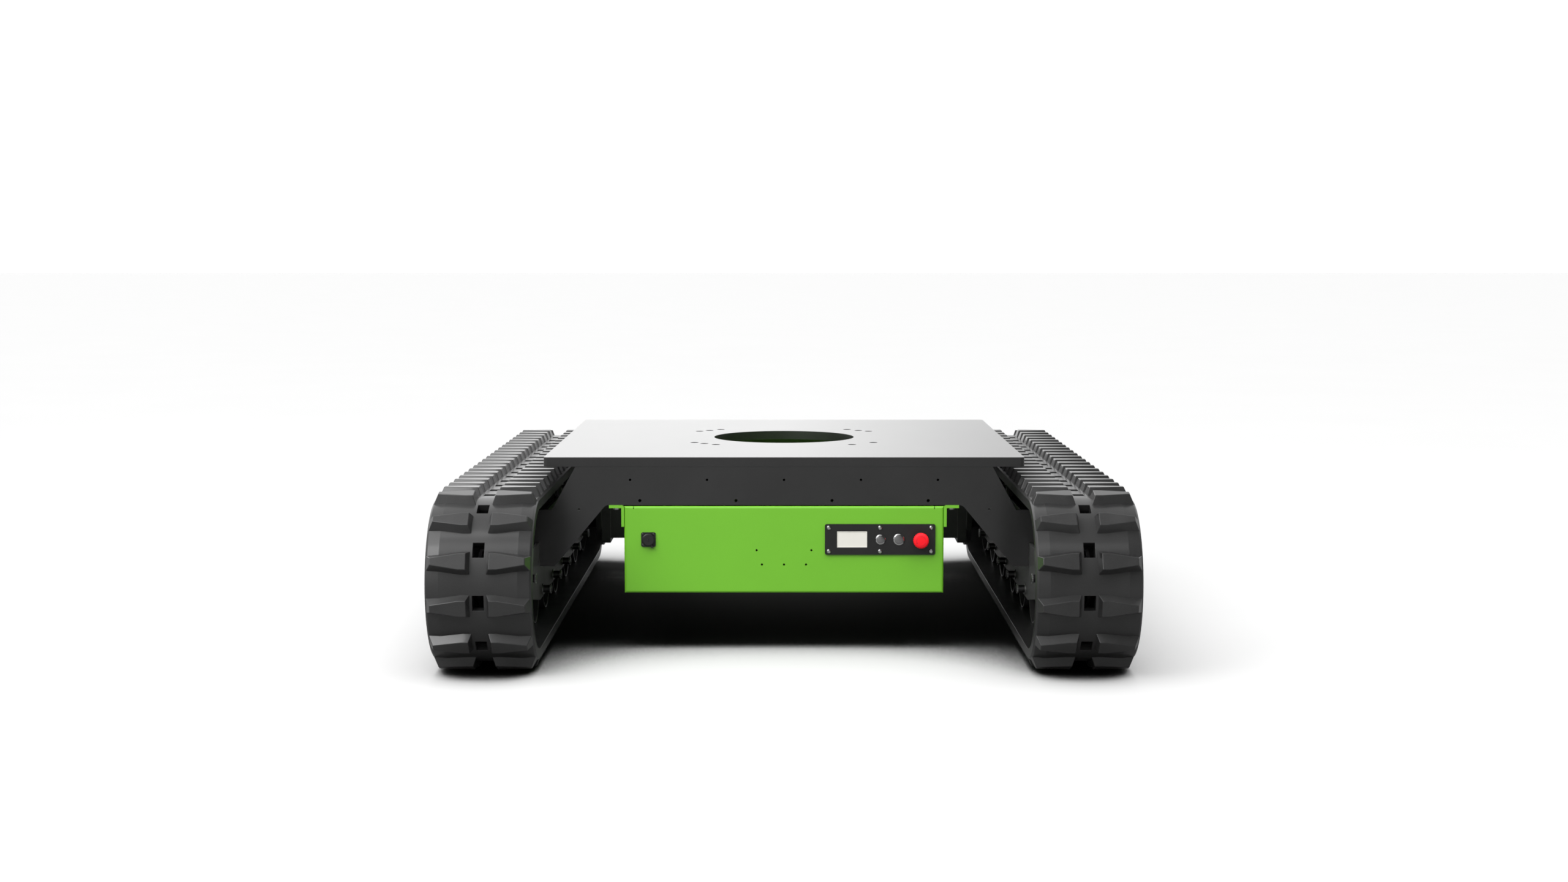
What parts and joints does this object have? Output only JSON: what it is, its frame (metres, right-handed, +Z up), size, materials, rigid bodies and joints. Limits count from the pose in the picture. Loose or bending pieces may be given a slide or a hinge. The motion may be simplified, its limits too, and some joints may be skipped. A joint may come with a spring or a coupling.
{
  "type": "tracked robot chassis",
  "caption": "Low tracked robot chassis: square drilled deck on portal frames between rubber belts, green battery box with switches and socket.",
  "frame": {"origin": "on the ground, under the middle of the overall box", "axes": "+X to the right seen from the front, +Y towards the rear (the drive end), +Z up; the front faces -Y"},
  "size_m": [1.382, 1.7838, 0.402],
  "materials": {
    "deck_coat": "fine-textured powder coat, dark grey",
    "box_coat": "smooth satin powder coat, leaf green",
    "frame_coat": "satin grey coat",
    "drive_coat": "black coat",
    "idler_coat": "dark grey coat, worn on the rims",
    "belt_rubber": "matte moulded rubber",
    "roller_rubber": "matte black rubber-covered roller",
    "black_plastic": "matte black",
    "battery_case": "matte dark blue",
    "red_plastic": "satin signal red",
    "screen": "pale unlit display glass",
    "zinc_steel": "zinc-plated",
    "dark_steel": "black oxide",
    "polished_steel": "polished stainless"
  },
  "bodies": {
    "root": {"deck_plate": "deck_coat", "portal_plate_front": "deck_coat", "portal_plate_rear": "deck_coat", "rail_left": "deck_coat", "rail_right": "deck_coat", "cross_tube_front": "deck_coat", "cross_tube_rear": "deck_coat", "battery_box": "box_coat", "battery_box_lid": "box_coat", "battery_pack": "battery_case", "motor_controller": "black_plastic", "hanger_left": "box_coat", "hanger_right": "box_coat", "hanger_bolts": "zinc_steel", "control_panel": "black_plastic", "display_module": "screen", "panel_screws": "polished_steel", "power_button_body": "polished_steel", "start_button_body": "polished_steel", "estop_body": "black_plastic", "charge_socket": "black_plastic", "charge_socket_screws": "dark_steel", "track_belt_left": "belt_rubber", "track_belt_right": "belt_rubber", "side_plate_inner_left": "frame_coat", "side_plate_outer_left": "frame_coat", "side_plate_inner_right": "frame_coat", "side_plate_outer_right": "frame_coat", "frame_spacers_left": "dark_steel", "frame_spacers_right": "dark_steel", "wheel_axles_left": "dark_steel", "axle_nuts_left": "zinc_steel", "wheel_axles_right": "dark_steel", "axle_nuts_right": "zinc_steel", "gearbox_left": "drive_coat", "motor_left": "drive_coat", "gearbox_right": "drive_coat", "motor_right": "drive_coat", "track_frame_bolts": "zinc_steel"},
    "estop_stem": {"estop_stem": "black_plastic"},
    "estop_head": {"estop_head": "red_plastic"},
    "power_button_cap": {"power_button_cap": "polished_steel"},
    "start_button_cap": {"start_button_cap": "polished_steel"},
    "charge_cap": {"charge_cap": "black_plastic"},
    "sprocket_left": {"sprocket_left": "idler_coat"},
    "idler_left": {"idler_left": "idler_coat"},
    "carrier_roller_left": {"carrier_roller_left": "roller_rubber"},
    "road_wheel_left_1": {"road_wheel_left_1": "roller_rubber"},
    "road_wheel_left_2": {"road_wheel_left_2": "roller_rubber"},
    "road_wheel_left_3": {"road_wheel_left_3": "roller_rubber"},
    "road_wheel_left_4": {"road_wheel_left_4": "roller_rubber"},
    "road_wheel_left_5": {"road_wheel_left_5": "roller_rubber"},
    "sprocket_right": {"sprocket_right": "idler_coat"},
    "idler_right": {"idler_right": "idler_coat"},
    "carrier_roller_right": {"carrier_roller_right": "roller_rubber"},
    "road_wheel_right_1": {"road_wheel_right_1": "roller_rubber"},
    "road_wheel_right_2": {"road_wheel_right_2": "roller_rubber"},
    "road_wheel_right_3": {"road_wheel_right_3": "roller_rubber"},
    "road_wheel_right_4": {"road_wheel_right_4": "roller_rubber"},
    "road_wheel_right_5": {"road_wheel_right_5": "roller_rubber"}
  },
  "joints": [
    {"name": "sprocket_spin_left", "type": "hinge", "parent": "root", "child": "sprocket_left", "pos_m": [-0.588, 0.712, 0.18], "axis": [1, 0, 0], "continuous": true},
    {"name": "idler_spin_left", "type": "hinge", "parent": "root", "child": "idler_left", "pos_m": [-0.588, -0.712, 0.18], "axis": [1, 0, 0], "continuous": true},
    {"name": "road_wheel_spin_left_1", "type": "hinge", "parent": "root", "child": "road_wheel_left_1", "pos_m": [-0.588, -0.426, 0.115], "axis": [1, 0, 0], "continuous": true},
    {"name": "road_wheel_spin_left_2", "type": "hinge", "parent": "root", "child": "road_wheel_left_2", "pos_m": [-0.588, -0.216, 0.115], "axis": [1, 0, 0], "continuous": true},
    {"name": "road_wheel_spin_left_3", "type": "hinge", "parent": "root", "child": "road_wheel_left_3", "pos_m": [-0.588, -0.005, 0.115], "axis": [1, 0, 0], "continuous": true},
    {"name": "road_wheel_spin_left_4", "type": "hinge", "parent": "root", "child": "road_wheel_left_4", "pos_m": [-0.588, 0.245, 0.115], "axis": [1, 0, 0], "continuous": true},
    {"name": "road_wheel_spin_left_5", "type": "hinge", "parent": "root", "child": "road_wheel_left_5", "pos_m": [-0.588, 0.492, 0.115], "axis": [1, 0, 0], "continuous": true},
    {"name": "carrier_roller_spin_left", "type": "hinge", "parent": "root", "child": "carrier_roller_left", "pos_m": [-0.588, 0, 0.2827], "axis": [1, 0, 0], "continuous": true},
    {"name": "sprocket_spin_right", "type": "hinge", "parent": "root", "child": "sprocket_right", "pos_m": [0.588, 0.712, 0.18], "axis": [1, 0, 0], "continuous": true},
    {"name": "idler_spin_right", "type": "hinge", "parent": "root", "child": "idler_right", "pos_m": [0.588, -0.712, 0.18], "axis": [1, 0, 0], "continuous": true},
    {"name": "road_wheel_spin_right_1", "type": "hinge", "parent": "root", "child": "road_wheel_right_1", "pos_m": [0.588, -0.426, 0.115], "axis": [1, 0, 0], "continuous": true},
    {"name": "road_wheel_spin_right_2", "type": "hinge", "parent": "root", "child": "road_wheel_right_2", "pos_m": [0.588, -0.216, 0.115], "axis": [1, 0, 0], "continuous": true},
    {"name": "road_wheel_spin_right_3", "type": "hinge", "parent": "root", "child": "road_wheel_right_3", "pos_m": [0.588, -0.005, 0.115], "axis": [1, 0, 0], "continuous": true},
    {"name": "road_wheel_spin_right_4", "type": "hinge", "parent": "root", "child": "road_wheel_right_4", "pos_m": [0.588, 0.245, 0.115], "axis": [1, 0, 0], "continuous": true},
    {"name": "road_wheel_spin_right_5", "type": "hinge", "parent": "root", "child": "road_wheel_right_5", "pos_m": [0.588, 0.492, 0.115], "axis": [1, 0, 0], "continuous": true},
    {"name": "carrier_roller_spin_right", "type": "hinge", "parent": "root", "child": "carrier_roller_right", "pos_m": [0.588, 0, 0.2827], "axis": [1, 0, 0], "continuous": true},
    {"name": "power_button_push", "type": "slide", "parent": "root", "child": "power_button_cap", "axis": [0, 1, 0], "range_m": [0, 0.002], "stiffness_N_per_m": 400},
    {"name": "start_button_push", "type": "slide", "parent": "root", "child": "start_button_cap", "axis": [0, 1, 0], "range_m": [0, 0.002], "stiffness_N_per_m": 400},
    {"name": "estop_push", "type": "slide", "parent": "root", "child": "estop_stem", "axis": [0, 1, 0], "range_m": [0, 0.004], "stiffness_N_per_m": 900},
    {"name": "estop_twist", "type": "hinge", "parent": "estop_stem", "child": "estop_head", "pos_m": [0.2839, -0.53, 0.231], "axis": [0, 1, 0], "range_deg": [0, 30], "stiffness_Nm_per_rad": 0.08},
    {"name": "charge_cap_swing", "type": "hinge", "parent": "root", "child": "charge_cap", "pos_m": [-0.27405, -0.5099, 0.21591], "axis": [0.8746, 0, 0.4848], "range_deg": [0, 150], "stiffness_Nm_per_rad": 0.01}
  ],
  "couplings": [
    {"joint": "idler_spin_left", "follows": "sprocket_spin_left", "ratio": 1},
    {"joint": "road_wheel_spin_left_1", "follows": "sprocket_spin_left", "ratio": 1.882},
    {"joint": "road_wheel_spin_left_2", "follows": "sprocket_spin_left", "ratio": 1.882},
    {"joint": "road_wheel_spin_left_3", "follows": "sprocket_spin_left", "ratio": 1.882},
    {"joint": "road_wheel_spin_left_4", "follows": "sprocket_spin_left", "ratio": 1.882},
    {"joint": "road_wheel_spin_left_5", "follows": "sprocket_spin_left", "ratio": 1.882},
    {"joint": "carrier_roller_spin_left", "follows": "sprocket_spin_left", "ratio": 3.8528},
    {"joint": "idler_spin_right", "follows": "sprocket_spin_right", "ratio": 1},
    {"joint": "road_wheel_spin_right_1", "follows": "sprocket_spin_right", "ratio": 1.882},
    {"joint": "road_wheel_spin_right_2", "follows": "sprocket_spin_right", "ratio": 1.882},
    {"joint": "road_wheel_spin_right_3", "follows": "sprocket_spin_right", "ratio": 1.882},
    {"joint": "road_wheel_spin_right_4", "follows": "sprocket_spin_right", "ratio": 1.882},
    {"joint": "road_wheel_spin_right_5", "follows": "sprocket_spin_right", "ratio": 1.882},
    {"joint": "carrier_roller_spin_right", "follows": "sprocket_spin_right", "ratio": 3.8528}
  ]
}
